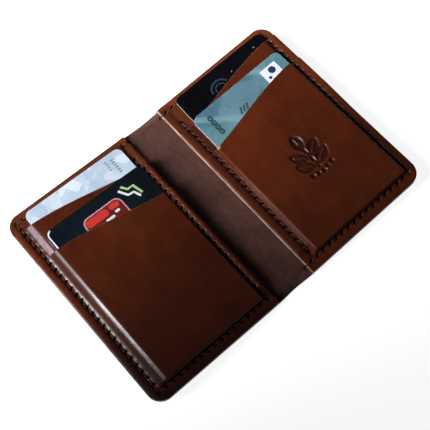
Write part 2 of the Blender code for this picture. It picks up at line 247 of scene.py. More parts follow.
class Panel:
    def __init__(self, name):
        fold = next(joint for joint in frame["joints"] if joint["name"] == name + "_fold")
        self.name = name
        self.body = fold["child"]
        self.pivot = Vector(fold["pos_m"])
        self.side = math.copysign(1.0, self.pivot.x)
        self.tilt = math.radians(-fold["range_deg"][0])
        turn = Matrix.Rotation(self.tilt, 4, Vector(fold["axis"]))
        self.lay = Matrix.Translation(self.pivot) @ turn @ Matrix.Translation(-self.pivot)
        self.measure_layers()
        self.measure_mouths()
        self.measure_seams()

    def flatten(self, points):
        back = np.array(self.lay.inverted())
        points = points @ back[:3, :3].T + back[:3, 3]
        return points * (self.side, 1.0, 1.0) / MM

    def place(self, points):
        """Points in u, v, w to the shared frame, with the fold line's turn."""
        lay = np.array(self.lay)
        return points * (self.side, 1.0, 1.0) * MM @ lay[:3, :3].T + lay[:3, 3]

    def points(self, piece):
        """A CAD node's points in this panel's u, v, w."""
        mesh = frame["nodes"][self.name + "_" + piece].data
        return self.flatten(np.array([vert.co for vert in mesh.vertices], float))

    def box(self, piece):
        points = self.points(piece)
        return points.min(0), points.max(0)

    def measure_layers(self):
        base = self.box("base")
        self.shell_top = self.box("cover")[1][2]
        self.half_width, self.half_height, self.base_top = base[1]
        self.base_edge = base[0][0]
        self.pocket_edge = self.base_edge + SET_BACK[self.name]
        self.gap = base[0][2] - self.shell_top
        self.rear_card, self.front_card = self.box("rear_card"), self.box("front_card")
        self.rear_plateau = self.rear_card[1][2] + self.gap
        self.front_plateau = self.front_card[1][2] + self.gap
        self.thickness = self.box("rear_pocket")[1][2] - self.rear_plateau
        self.flange = self.base_top + self.gap
        self.ear_flange = self.flange + self.thickness + self.gap

    def measure_mouths(self):
        front, rear = self.points("front_pocket"), self.points("rear_pocket")
        beside_spine = self.base_edge + 0.1
        self.mouth_low = front[front[:, 0] < beside_spine][:, 1].max()
        self.mouth_high = front[:, 1].max()
        self.mouth_offset = rear[:, 1].max() - self.mouth_high
        self.rear_bottom = rear[:, 1].min()
        self.ear_bottom = rear[rear[:, 0] < beside_spine][:, 1].min()

    def measure_seams(self):
        boxes = [self.box(seam + "_thread") for seam in ("rim", "inner", "pocket")]
        rim, inner, pocket = [(low + CAD_THREAD, high - CAD_THREAD) for low, high in boxes]
        self.seam_start, self.bottom_seam = rim[0][:2]
        self.side_seam, self.top_seam = rim[1][:2]
        self.inner_seam = (inner[0][0] + inner[1][0]) / 2
        self.inner_ends = inner[0][1], inner[1][1]
        self.rear_seam = (pocket[0][1] + pocket[1][1]) / 2
        self.rear_seam_ends = pocket[0][0], pocket[1][0]

    # holes, in the order in which the thread meets them

    def rim_rows(self):
        start, side = self.seam_start, self.side_seam
        low, high = self.bottom_seam, self.top_seam
        return [row((start, low), (side, low)), row((side, low), (side, high), 1),
                row((side, high), (start, high))]

    def inner_rows(self):
        low, high = self.inner_ends
        return [row((self.inner_seam, low), (self.inner_seam, high))]

    def pocket_rows(self):
        low, high = self.rear_seam_ends
        return [row((low, self.rear_seam), (high, self.rear_seam), 1)]

    # outlines

    def rim_distance(self, u, v):
        """Distance inside the rounded rim of the open wallet."""
        return outline_distance(u, v, self.half_width, self.half_height, CORNER_RADIUS)

    def edge_height(self, u):
        """Height of the rim above the middle, lower in the rounded corner."""
        past = np.clip(u - (self.half_width - CORNER_RADIUS), 0.0, CORNER_RADIUS)
        return self.half_height - CORNER_RADIUS + np.sqrt(CORNER_RADIUS ** 2 - past ** 2)

    def front_mouth(self, u):
        run = unit((u - MOUTH_START) / (MOUTH_END - MOUTH_START)) ** MOUTH_SKEW
        wave = 0.5 - 0.5 * np.cos(math.pi * run)
        rise = self.mouth_high - self.mouth_low
        return self.mouth_low + rise * (MOUTH_STRAIGHT * run + (1.0 - MOUTH_STRAIGHT) * wave)

    def rear_mouth(self, u):
        return self.front_mouth(u) + self.mouth_offset

    # seams

    def seam_distance(self, u, v):
        """Distance to the rim seam and the inner seam."""
        middle, half = (self.top_seam + self.bottom_seam) / 2, (self.top_seam - self.bottom_seam) / 2
        rim = np.abs(outline_distance(u, v - middle, self.side_seam, half))
        low, high = self.inner_ends
        past_end = np.maximum(np.maximum(low - v, v - high), 0.0)
        return rim, np.hypot(u - self.inner_seam, past_end)

    def hole_distance(self, u, v):
        nearest = np.full(u.shape, np.inf)
        for hole_u, hole_v in np.concatenate(self.rim_rows() + self.inner_rows()):
            nearest = np.minimum(nearest, np.hypot(u - hole_u, v - hole_v))
        return nearest

    # heights of the leather

    def pressed(self, card, u, v, foot_v, profile):
        """How far up the ramps round a card a place lies, 1 on the card."""
        foot_in, foot_out = self.inner_seam + RAMP_OFFSET, self.side_seam - RAMP_OFFSET
        low, high = card[0] - 0.1, card[1] + 0.1
        inside = (u - foot_in) / (low[0] - foot_in)
        outside = (foot_out - u) / (foot_out - high[0])
        along = (v - foot_v - RAMP_OFFSET) / (low[1] - foot_v - RAMP_OFFSET)
        return np.minimum(smooth(inside), profile(outside)) * smooth(along)

    def front_share(self, u, v):
        return self.pressed(self.front_card, u, v, self.bottom_seam, formed)

    def rear_share(self, u, v):
        return self.pressed(self.rear_card, u, v, self.rear_seam, crested)

    def front_flange(self, v, reach):
        """Level of the seam allowance, which climbs onto the rear pocket's ears."""
        climb = (v - self.ear_bottom) / reach + 1.0
        return self.flange + (self.ear_flange - self.flange) * smooth(climb)

    def welt(self, u, v):
        """How far the thick allowance inside the inner seam stands up."""
        low, high = self.inner_ends
        along = smooth((v - low) / 3) * smooth((high - v) / 3)
        back = 1.0 - unit((u - self.pocket_edge) / WELT_ROUND[self.name])
        fall = smooth((u - self.inner_seam - 1.0) / 3)
        return WELT * np.sqrt(1.0 - back ** 2) * (1.0 - fall) * along

    def seam_relief(self, u, v, seed):
        """How the stitching and the wet-formed edge shape a visible layer."""
        seam = np.minimum(*self.seam_distance(u, v))
        edge = self.rim_distance(u, v)
        inset = self.half_width - self.side_seam
        strip = self.inner_seam - self.pocket_edge
        pillow = np.maximum(swell(edge / inset) * (edge < inset),
                            swell((u - self.pocket_edge) / strip) * (u < self.inner_seam))
        relief = PILLOW * pillow - TRENCH * bell(seam, TRENCH_WIDTH)
        relief -= DIP * bell(self.hole_distance(u, v), DIP_WIDTH)
        return relief + RIPPLE * ripple(u, v, 9, seed)


# --- mesh helpers ------------------------------------------------------------

def put(thing, **values):
    for name, value in values.items():
        setattr(thing, name, value)


def link(name, data):
    obj = bpy.data.objects.new(name, data)
    bpy.context.scene.collection.objects.link(obj)
    return obj


def soften(mesh, angle=50.0):
    mesh.shade_smooth()
    mesh.set_sharp_from_angle(angle=math.radians(angle))


def make_object(name, points, faces, slots=None, angle=50.0):
    mesh = bpy.data.meshes.new(name)
    mesh.from_pydata(np.asarray(points).tolist(), [], faces)
    if slots is not None:
        mesh.polygons.foreach_set("material_index", slots.astype(np.int32))
    soften(mesh, angle)
    return link(name, mesh)


def sheet_grid(panel, columns, rows):
    """Mapped grid whose upper and lower rows follow the rounded rim."""
    height, inner = panel.half_height, panel.half_height - CORNER_BAND
    u, v = np.meshgrid(columns, rows, indexing="ij")
    share = unit((np.abs(v) - inner) / (height - inner))
    return u, np.sign(v) * (np.abs(v) - share * (height - panel.edge_height(u)))


def solid(name, panel, u, v, top, bottom, keep=None, skin=None, warp=None):
    """A closed sheet between two height fields on one mapped grid.

    keep says which cells are leather, skin(u, v) gives the material slot of
    the top cells, and warp(points) stands in for Panel.place().
    """
    index = np.arange(u.size).reshape(u.shape)
    cells = np.ones((u.shape[0] - 1, u.shape[1] - 1), bool) if keep is None else keep
    quads = np.stack([index[:-1, :-1], index[1:, :-1], index[1:, 1:], index[:-1, 1:]], -1)[cells]
    edges = np.concatenate([quads[:, [k, (k + 1) % 4]] for k in range(4)])
    code = edges.min(1) * u.size + edges.max(1)
    _, first, count = np.unique(code, return_index=True, return_counts=True)
    rim = edges[first[count == 1]]
    walls = np.stack([rim[:, 1], rim[:, 0], rim[:, 0] + u.size, rim[:, 1] + u.size], -1)
    faces = np.concatenate([quads, quads[:, ::-1] + u.size, walls])
    if panel.side < 0:
        faces = faces[:, ::-1]
    used, faces = np.unique(faces, return_inverse=True)
    flat = np.concatenate([np.stack([u, v, top], -1).reshape(-1, 3),
                           np.stack([u, v, bottom], -1).reshape(-1, 3)])[used]
    slots = np.full(2 * len(quads) + len(walls), 2)
    slots[:len(quads)] = skin(u.ravel()[quads].mean(1), v.ravel()[quads].mean(1)) if skin else 0
    slots[len(quads):2 * len(quads)] = 1
    return make_object(name, (warp or panel.place)(flat), faces.reshape(-1, 4).tolist(), slots)


def ring_bodies(bodies, flip=False):
    """Points and faces of closed bodies, each given by its rings from one lid to the other."""
    points, faces = [], []
    for rings in bodies:
        start, count = len(points), len(rings[0])
        points += [point for ring in rings for point in ring]
        last = start + count * (len(rings) - 1)
        faces.append(list(range(start, start + count))[::-1])
        faces.append(list(range(last, last + count)))
        for low in range(start, last, count):
            for k in range(count):
                after = (k + 1) % count
                faces.append([low + k, low + after, low + count + after, low + count + k])
    return np.array(points), [face[::-1] for face in faces] if flip else faces


def prisms(name, panel, rows, low, high):
    """Slanted awl slots as one cutter."""
    turn = np.linspace(0.0, 2.0 * math.pi, 12, endpoint=False)
    bodies = []
    for holes in rows:
        along, beside = heading(holes[0], holes[1])
        lean = math.cos(SLOT_ANGLE) * along + math.sin(SLOT_ANGLE) * beside
        thin = np.array([-lean[1], lean[0]])
        ring = (np.outer(np.cos(turn), lean) * SLOT_LENGTH / 2
                + np.outer(np.sin(turn), thin) * SLOT_WIDTH / 2)
        for hole in holes:
            bodies.append([[(*(hole + offset), w) for offset in ring] for w in (low, high)])
    points, faces = ring_bodies(bodies, panel.side < 0)
    return make_object(name, panel.place(points), faces)


def tubes(name, panel, paths, radius, sides=10):
    """Closed lengths of laid thread along the given paths of u, v, w points."""
    turn = np.linspace(0.0, 2.0 * math.pi, sides, endpoint=False)
    bodies = []
    for path in paths:
        ahead = np.gradient(path, axis=0)
        ahead /= np.linalg.norm(ahead, axis=1)[:, None]
        beside = np.append(heading(path[0, :2], path[-1, :2])[1], 0.0)
        above = np.cross(ahead, beside)
        steps = np.linalg.norm(np.diff(path, axis=0), axis=1)
        twist = 2.0 * math.pi * np.concatenate([[0.0], np.cumsum(steps)]) / LAY_LENGTH
        wave = 1.0 + PLY_RELIEF * np.cos(PLIES * turn[None, :] - twist[:, None] * PLIES / 2)
        shell = radius * wave[..., None] * (np.cos(turn)[None, :, None] * beside[None, None, :]
                                            + np.sin(turn)[None, :, None] * above[:, None, :])
        bodies.append((path[:, None, :] + shell).tolist())
    points, faces = ring_bodies(bodies, panel.side < 0)
    return make_object(name, panel.place(points), faces, angle=60.0)


def cut(obj, cutter):
    """Takes the cutter out of obj; the slots' walls keep the cutter's material."""
    put(obj.modifiers.new("slots", "BOOLEAN"), operation="DIFFERENCE", solver="MANIFOLD",
        material_mode="TRANSFER", object=cutter)
    graph = bpy.context.evaluated_depsgraph_get()
    mesh = bpy.data.meshes.new_from_object(obj.evaluated_get(graph))
    obj.modifiers.clear()
    obj.data = mesh
    soften(mesh)


def paint(obj, panel, **layers):
    """Stores each layer(u, v, w) on the points, for the materials to read by its name."""
    points = np.zeros(len(obj.data.vertices) * 3)
    obj.data.vertices.foreach_get("co", points)
    u, v, w = panel.flatten(points.reshape(-1, 3)).T
    for name, layer in layers.items():
        values = obj.data.attributes.new(name, "FLOAT", "POINT")
        values.data.foreach_set("value", np.clip(layer(u, v, w), 0.0, 6.0).astype(np.float32))


# --- leather pieces ----------------------------------------------------------

def seam_marks(panel, inner_edge):
    return [(panel.inner_seam, SEAM_CELL), (panel.side_seam, SEAM_CELL),
            (panel.side_seam + 2.4, 0.45), (panel.half_width, EDGE_CELL),
            (inner_edge, EDGE_CELL)]


def make_shell(panel):
    """Half of the outer shell, and where along u the fold's turn starts and ends in it."""
    hinge, h = abs(panel.pivot.x) / MM, panel.half_height
    start, end = hinge - TURN_INSIDE, hinge + TURN_OUTSIDE
    columns = graded(0.0, panel.half_width, [(hinge, 0.35), (panel.side_seam, 0.35),
                                             (panel.half_width, EDGE_CELL)])
    rows = graded(-h, h, [(-h, EDGE_CELL), (h, EDGE_CELL), (panel.bottom_seam, 0.35),
                          (panel.top_seam, 0.35)])
    u, v = sheet_grid(panel, columns, rows)
    waist = WAIST * bell(u, 7) * smooth((np.abs(v) - h + 6) / 6)
    v = v - np.sign(v) * waist
    edge = np.minimum(panel.rim_distance(u, v), h - waist - np.abs(v))
    rim, _ = panel.seam_distance(u, v)
    uncovered = smooth((panel.base_edge - 0.2 - u) / 0.6)
    top = panel.shell_top + uncovered * (0.05 * ripple(u, v, 2.6, 11)
                                         + 0.08 * ripple(u, v, 14, 12))
    top -= round_off(edge, 0.10) + uncovered * round_off(edge, 0.28)
    bottom = 0.5 * RIPPLE * (1.0 + ripple(u, v, 11, 13)) + round_off(edge, SHELL_ROUND)
    bottom += TRENCH * bell(rim, TRENCH_WIDTH) * (u > panel.seam_start - PITCH)
    bottom += 0.7 * DIP * bell(panel.hole_distance(u, v), DIP_WIDTH)

    def warp(points):
        weight = smooth((points[:, 0] - start) / (end - start))
        points = points * (panel.side, 1.0, 1.0) * MM - np.array(panel.pivot)
        turn = weight * panel.tilt * -panel.side
        x = points[:, 0] * np.cos(turn) + points[:, 2] * np.sin(turn)
        z = points[:, 2] * np.cos(turn) - points[:, 0] * np.sin(turn)
        return np.stack([x, points[:, 1], z], -1) + np.array(panel.pivot)

    return solid(panel.name + "_shell", panel, u, v, top, bottom, warp=warp), start, end


def base_top(panel, u, v):
    """Top of the backing panel before its edges are rounded."""
    rim, _ = panel.seam_distance(u, v)
    groove = smooth((v - panel.top_seam + 4) / 2)
    under_card = unit(panel.rear_card[0][2] - 0.1 - panel.base_top)
    sunk = -TOP_GROOVE * bell(rim, 1.1)
    sunk -= 0.15 * bell(panel.hole_distance(u, v), DIP_WIDTH)
    hidden = smooth((u - panel.base_edge - 3) / 3) * (1.0 - groove)
    strip = 1.0 - smooth(u - panel.inner_seam)
    bare = strip * smooth((v - panel.rear_mouth(u) - 1.0) / 2)
    relief = panel.seam_relief(u, v, 21) * (1.0 - hidden) * np.maximum(bare, 1.0 - groove)
    return panel.base_top + np.minimum(relief + sunk * groove, np.maximum(bare * PILLOW, under_card))


def make_base(panel):
    h = panel.half_height
    columns = graded(panel.base_edge, panel.half_width, seam_marks(panel, panel.base_edge))
    rows = graded(-h, h, [(-h, EDGE_CELL), (h, EDGE_CELL), (panel.bottom_seam, 0.4),
                          (panel.top_seam, SEAM_CELL), (panel.rear_seam, 0.5)])
    u, v = sheet_grid(panel, columns, rows)
    rim, edge = panel.rim_distance(u, v), u - panel.base_edge
    rear_low, rear_high = panel.rear_seam_ends
    along_seam = (u > rear_low - 1.0) * (u < rear_high + 1.0)
    top = base_top(panel, u, v) - round_off(rim, 0.12) - round_off(edge, 0.22)
    top -= FINE_GROOVE * bell(v - panel.rear_seam, 0.6) * along_seam
    top -= round_off(h - np.abs(v), 0.3) * (v > 0)
    bottom = panel.shell_top + CONTACT + round_off(rim, HIDDEN_ROUND) + round_off(edge, HIDDEN_ROUND)
    u = u + 0.04 * ripple(v, 0.0, 5, 22) * bell(edge, 2)

    def skin(at_u, at_v):
        return np.where(at_u - panel.base_edge < SET_BACK[panel.name] + CUT_SKIN, 3, 0)

    return solid(panel.name + "_base_leather", panel, u, v, top, bottom, skin=skin)


def pocket(piece, panel, columns, u, v, heights, mouth, rim, rim_round, keep=None, fray=None):
    """A pocket sheet with rounded edges; fray is where along the mouth its grain has worn off."""
    top, bottom = heights
    slope = np.gradient(mouth(columns), columns)[:, None]
    lip = (mouth(u) - v) / np.sqrt(1.0 + slope ** 2)
    top -= (round_off(lip, LIP_ROUND) + round_off(u - panel.pocket_edge, EDGE_ROUND)
            + round_off(rim, rim_round))
    bottom += round_off(lip, BACK_LIP_ROUND)

    def skin(at_u, at_v):
        depth = mouth(at_u) - at_v
        slots = np.where(depth < LIP_SKIN, 4, 0)
        slots[at_u - panel.pocket_edge < RAW_SKIN] = 3
        if fray:
            slots[np.hypot(at_u - fray, depth) < FRAY_REACH] = 5
        return slots

    return solid(panel.name + piece, panel, u, v, top, bottom, keep, skin)


def rear_heights(panel, u, v):
    """Top and underside of the rear pocket before its edges are rounded."""
    share = panel.rear_share(u, v)
    under = panel.flange + (panel.rear_plateau - panel.flange) * share
    bottom = under - (panel.gap - CONTACT) * (1.0 - smooth(share * 4))
    bare = 1.0 - smooth((panel.front_mouth(u) - 1.5 - v) / 2)
    relief = panel.seam_relief(u, v, 31) * (1.0 - 0.75 * smooth(share * 2))
    relief += panel.welt(u, v) * (1.0 - share)
    return under + panel.thickness + relief * bare, bottom


def make_rear_pocket(panel):
    nominal = panel.mouth_high + panel.mouth_offset
    columns = graded(panel.pocket_edge, panel.half_width, seam_marks(panel, panel.pocket_edge))
    rows = graded(panel.rear_bottom, nominal, [(nominal, MOUTH_CELL), (panel.rear_seam, 0.5),
                                               (panel.rear_bottom, 0.1)])
    below = np.argmin(np.abs(rows - panel.ear_bottom))
    u, v = np.meshgrid(columns, rows, indexing="ij")
    share = unit((v - rows[below]) / (nominal - rows[below]))
    v = v - share * (nominal - panel.rear_mouth(u))
    keep = np.ones((len(columns) - 1, len(rows) - 1), bool)
    middles = (columns[:-1] + columns[1:]) / 2
    tongue = (middles > panel.rear_card[0][0]) & (middles < panel.rear_card[1][0])
    keep[:, :below] = tongue[:, None]
    return pocket("_rear_pocket_leather", panel, columns, u, v, rear_heights(panel, u, v),
                  panel.rear_mouth, panel.half_width - u, EDGE_ROUND, keep)


def segment(u, v, start, end):
    """Distance to a straight stroke, and the share of its length."""
    du, dv = end[0] - start[0], end[1] - start[1]
    along = unit(((u - start[0]) * du + (v - start[1]) * dv) / (du * du + dv * dv))
    return np.hypot(u - start[0] - along * du, v - start[1] - along * dv), along


def emblem(u, v):
    """A plain sprig of broad leaves over a row of dots, 1 where it is pressed in."""
    u = (u - EMBLEM_CENTRE[0]) / EMBLEM_HALF[0]
    v = (v - EMBLEM_CENTRE[1]) / EMBLEM_HALF[1]
    blur = 0.055
    stem, _ = segment(u, v, (0.0, -0.66), (0.0, 0.45))
    pressed = smooth((0.10 - stem) / blur)
    leaves = [((0.0, 0.26), (0.0, 1.0), 0.31)]
    for side in (-1.0, 1.0):
        for low, reach, rise, width in ((-0.54, 0.98, 0.38, 0.29), (-0.12, 0.86, 0.44, 0.27)):
            leaves.append(((side * 0.10, low), (side * reach, low + rise), width))
    for start, end, width in leaves:
        distance, along = segment(u, v, start, end)
        profile = width * np.sin(math.pi * unit(0.05 + 0.95 * along)) ** 0.6
        blade = smooth((profile - distance) / blur)
        vein = smooth((0.060 - distance) / 0.05) * (along > 0.15) * (along < 0.8)
        pressed = np.maximum(pressed, blade * (1.0 - 0.75 * vein))
    for k in range(5):
        at = -0.60 + 0.30 * k
        dot = np.hypot(u - at, (v + 0.93 - 0.16 * abs(at)) * 1.2)
        pressed = np.maximum(pressed, smooth((0.15 - dot) / blur))
    return pressed


def front_heights(panel, u, v):
    """Top and underside of the front pocket before its edges are rounded."""
    share = panel.front_share(u, v)

    def under(reach):
        flange = panel.front_flange(v, reach)
        return flange + (panel.front_plateau - flange) * share

    bottom = under(EAR_STEP) - (panel.gap - CONTACT) * (1.0 - smooth(share * 4))
    relief = panel.seam_relief(u, v, 41) * (1.0 - 0.8 * smooth(share * 2))
    middle_u = (panel.front_card[0][0] + panel.front_card[1][0]) / 2
    middle_v = (panel.front_mouth(middle_u) + panel.front_card[0][1]) / 2
    across = unit(np.abs(u - middle_u) / 28)
    up = unit(np.abs(v - middle_v) / 36)
    crown = CROWN * (1.0 - across ** 2) * (1.0 - up ** 2) * share
    relief += crown + panel.welt(u, v) * (1.0 - share)
    return under(EAR_CLIMB) + panel.thickness + relief, bottom


def make_front_pocket(panel, with_emblem):
    """The front pocket; the one with the emblem is frayed at its mouth's inner corner too."""
    h, high = panel.half_height, panel.mouth_high
    inner, outer = panel.front_card[0][0], panel.front_card[1][0]
    columns = seam_marks(panel, panel.pocket_edge)
    columns += [(inner, 0.2), (outer + 0.6, 0.2)]
    rows = [(-h, EDGE_CELL), (high, MOUTH_CELL), (panel.bottom_seam, SEAM_CELL),
            (panel.front_card[0][1], 0.4)]
    if with_emblem:
        for k in range(-4, 5):
            columns.append((EMBLEM_CENTRE[0] + k / 4 * EMBLEM_HALF[0], 0.22))
            rows.append((EMBLEM_CENTRE[1] + k / 4 * EMBLEM_HALF[1], 0.22))
    columns = graded(panel.pocket_edge, panel.half_width, columns)
    rows = graded(-h, high, rows)
    u, turned = sheet_grid(panel, columns, rows)
    foot = 5
    share = unit((rows - foot) / (high - foot))
    v = np.where(rows < 0, turned, rows - share * (high - panel.front_mouth(u)))
    top, bottom = front_heights(panel, u, v)
    if with_emblem:
        top -= EMBLEM_DEPTH * emblem(u, v)
    rim = np.where(v < 0, panel.rim_distance(u, v), panel.half_width - u)
    return pocket("_front_pocket_leather", panel, columns, u, v,
                  (top, bottom + round_off(rim, HIDDEN_ROUND)), panel.front_mouth, rim, RIM_ROUND,
                  fray=inner if with_emblem else None)


# --- thread ------------------------------------------------------------------

def visible_top(panel, u, v):
    """Level of the topmost leather under a stitch."""
    beside = u > panel.base_edge
    level = np.where(beside, base_top(panel, u, v), panel.shell_top)
    on_rear = beside & (v < panel.rear_mouth(u)) & (v > panel.ear_bottom)
    level = np.where(on_rear, rear_heights(panel, u, v)[0], level)
    on_front = beside & (v < panel.front_mouth(u))
    return np.where(on_front, front_heights(panel, u, v)[0], level)


def stitches(rows, level_at, out, radius, sink, rings=17):
    """Paths of a seam's stitches on one face; out is 1 above the leather and -1 below."""
    paths = []
    for holes in rows:
        for start, end in zip(holes[:-1], holes[1:]):
            along, beside = heading(start, end)
            first = start - beside * STITCH_SLANT + along * 0.1
            last = end + beside * STITCH_SLANT - along * 0.1
            share = 0.5 - 0.5 * np.cos(math.pi * np.linspace(0.0, 1.0, rings))
            places = first + (last - first) * share[:, None]
            length = np.linalg.norm(last - first)
            ends = bell(share * length, THREAD_ENTRY) + bell((1.0 - share) * length, THREAD_ENTRY)
            w = level_at(places[:, 0], places[:, 1]) + out * (radius * THREAD_SEAT - sink * ends)
            paths.append(np.column_stack([places, w]))
    return paths


def make_threads(panel):
    """Each seam's name with its stitches above and below the leather."""
    def top(u, v):
        return visible_top(panel, u, v)

    def under_rim(u, v):
        return TRENCH * bell(panel.seam_distance(u, v)[0], TRENCH_WIDTH) + 0.3 * DIP

    def flat(level):
        return lambda u, v: level

    flange = flat(panel.flange + panel.thickness)
    buried = flat(panel.shell_top + panel.gap + 0.35)
    seams = [
        ("rim", panel.rim_rows(), THREAD_RADIUS, top, SINK, under_rim, SINK),
        ("inner", panel.inner_rows(), THREAD_RADIUS, top, SINK, flat(0.3 * DIP), SINK),
        ("pocket", panel.pocket_rows(), FINE_THREAD_RADIUS, flange, 0.6, buried, 0.4),
    ]
    for seam, rows, radius, above, sink_above, below, sink_below in seams:
        paths = stitches(rows, above, 1, radius, sink_above)
        paths += stitches(rows, below, -1, radius, sink_below)
        yield seam, tubes(panel.name + "_" + seam + "_stitching", panel, paths, radius)


# --- cards -------------------------------------------------------------------

def rounded(width, height, radius, steps=8):
    """Outline of a rectangle with round corners, about its middle."""
    points = []
    for corner, (sx, sy) in enumerate(((1, 1), (-1, 1), (-1, -1), (1, -1))):
        points += arc(sx * (width / 2 - radius), sy * (height / 2 - radius), radius,
                      90.0 * corner, 90.0 * corner + 90.0, steps + 1)
    return points


def bar(x, y, width, height, radius=None, lean=0.0):
    """Outline of a rounded bar."""
    radius = min(width, height) / 2 * 0.98 if radius is None else radius
    c, s = math.cos(lean), math.sin(lean)
    return [(x + px * c - py * s, y + px * s + py * c)
            for px, py in rounded(width, height, radius, 5)]


def ring_sector(x, y, inner, outer, start, end):
    return arc(x, y, outer, start, end, 16) + arc(x, y, inner, end, start, 16)


def zigzag(points, width):
    """Outline of a bent stroke through the points."""
    points = np.array(points)
    ends = [(points[max(k - 1, 0)], points[min(k + 1, len(points) - 1)]) for k in range(len(points))]
    beside = np.array([heading(*pair)[1] for pair in ends]) * width / 2
    return (points - beside).tolist() + (points + beside)[::-1].tolist()


def end_line(inset, thickness, drop):
    """Outline of a border round a card's left end, from the top edge down to drop."""
    x, y = CARD_RADIUS - CARD_WIDTH / 2, -CARD_RADIUS
    outer, inner = CARD_RADIUS - inset, CARD_RADIUS - inset - thickness
    return (arc(x, y, outer, 100.0, 180.0, 9) + [(x - outer, -drop), (x - inner, -drop)]
            + arc(x, y, inner, 180.0, 100.0, 9))


def card_designs():
    """Per card: its plastic, its inks and its generic marks, each an ink's number and an outline.

    In an outline x is counted from the card's middle line and y from its top edge.
    """
    silver = [(1, bar(17.4, -3.0 - 1.5 * k, 1.5, 0.8)) for k in range(4)]
    silver += [(1, bar(20.6, -3.6 - 1.5 * k, 1.7, 0.9)) for k in range(6)]
    black = [
        (1, bar(-0.6, -13.4, 21.4, 14.6, 3.4)),
        (2, bar(-0.6, -13.4, 20.0, 13.2, 2.8)),
        (3, bar(-4.2, -9.4, 12.0, 4.0, 1.6)),
        (3, bar(5.6, -8.9, 5.6, 2.8, 1.2)),
        (4, bar(0.6, -13.2, 5.0, 1.3)),
        (4, bar(5.4, -12.0, 2.6, 1.3)),
        (5, zigzag([(13.6, -3.6), (15.6, -6.6), (18.6, -6.4), (20.0, -12.0)], 1.25)),
        (4, zigzag([(11.4, -4.6), (14.0, -9.0), (17.0, -9.4), (18.4, -13.0)], 1.25)),
        (4, end_line(0.15, 0.75, 22.0)),
    ]
    dark = [
        (1, ring_sector(-6.0, -11.0, 4.4, 5.4, 20, 175)),
        (1, ring_sector(-6.0, -11.0, 2.5, 3.2, 10, 190)),
        (2, bar(3.8, -7.2, 0.8, 0.6)),
        (2, bar(20.3, -4.7, 0.9, 0.7)),
    ]
    teal = [
        (1, bar(18.0, -7.4, 9.6, 7.8, 0.5)),
        (2, bar(18.9, -6.4, 3.8, 3.8, 1.85)),
        (2, bar(15.6, -9.2, 1.7, 1.7, 0.8)),
    ]
    teal += [(3, ring_sector(-20.4, -5.6 - 2.9 * k, 0.45, 1.5, 6, 354)) for k in range(4)]
    teal += [(3, bar(-6.6 + 1.9 * k, -12.6, 0.9, 3.8, lean=-0.5)) for k in range(3)]
    return {
        "left_rear_card": ("silver", ["grey_ink"], silver),
        "left_front_card": ("black", ["pink_ink", "wine_ink", "red_ink", "white_ink", "green_ink"],
                            black),
        "right_rear_card": ("dark", ["blue_ink", "grey_ink"], dark),
        "right_front_card": ("teal", ["white_ink", "navy_ink", "slate_ink"], teal),
    }


def make_card(panel, piece, marks):
    """A card with its core showing at the edge, and printed marks as thin closed inlays."""
    points = panel.points(piece) * (panel.side, 1.0, 1.0)
    middle = (points.min(0) + points.max(0)) / 2
    spread = points[:, :2] - middle[:2]
    _, axes = np.linalg.eigh(spread.T @ spread)
    long = axes[:, 1] * math.copysign(1.0, axes[1, 1])
    turn = math.atan2(-long[0], long[1])
    c, s = math.cos(turn), math.sin(turn)
    own = spread @ np.array([[c, -s], [s, c]])
    width, height = own.max(0) - own.min(0)
    half = (points[:, 2].max() - points[:, 2].min()) / 2
    soft = CARD_SOFTENING
    inset = rounded(width - 2 * soft, height - 2 * soft, CARD_RADIUS - soft)
    full = rounded(width, height, CARD_RADIUS)
    levels = [(inset, -half), (full, -half + soft), (full, -half + CARD_SKIN),
              (full, half - CARD_SKIN), (full, half - soft), (inset, half)]
    bodies = [[[(x, y, z) for x, y in ring] for ring, z in levels]]
    count = len(full)
    slots = np.zeros(2 + 5 * count)
    slots[2 + 2 * count:2 + 3 * count] = 1
    for order, (ink, outline) in enumerate(marks):
        raised = half + INK * (1 + 0.2 * order)
        bodies.append([[(x, y + height / 2, z) for x, y in outline]
                       for z in (half - INK_DEPTH, raised)])
        slots = np.append(slots, np.full(2 + len(outline), 1 + ink))
    obj = make_object(panel.name + "_" + piece + "_body", *ring_bodies(bodies), slots, 35.0)
    obj.data.transform(panel.lay @ Matrix.Translation(middle * MM)
                       @ Matrix.Rotation(turn, 4, "Z") @ Matrix.Scale(MM, 4))
    return obj


# --- materials ---------------------------------------------------------------

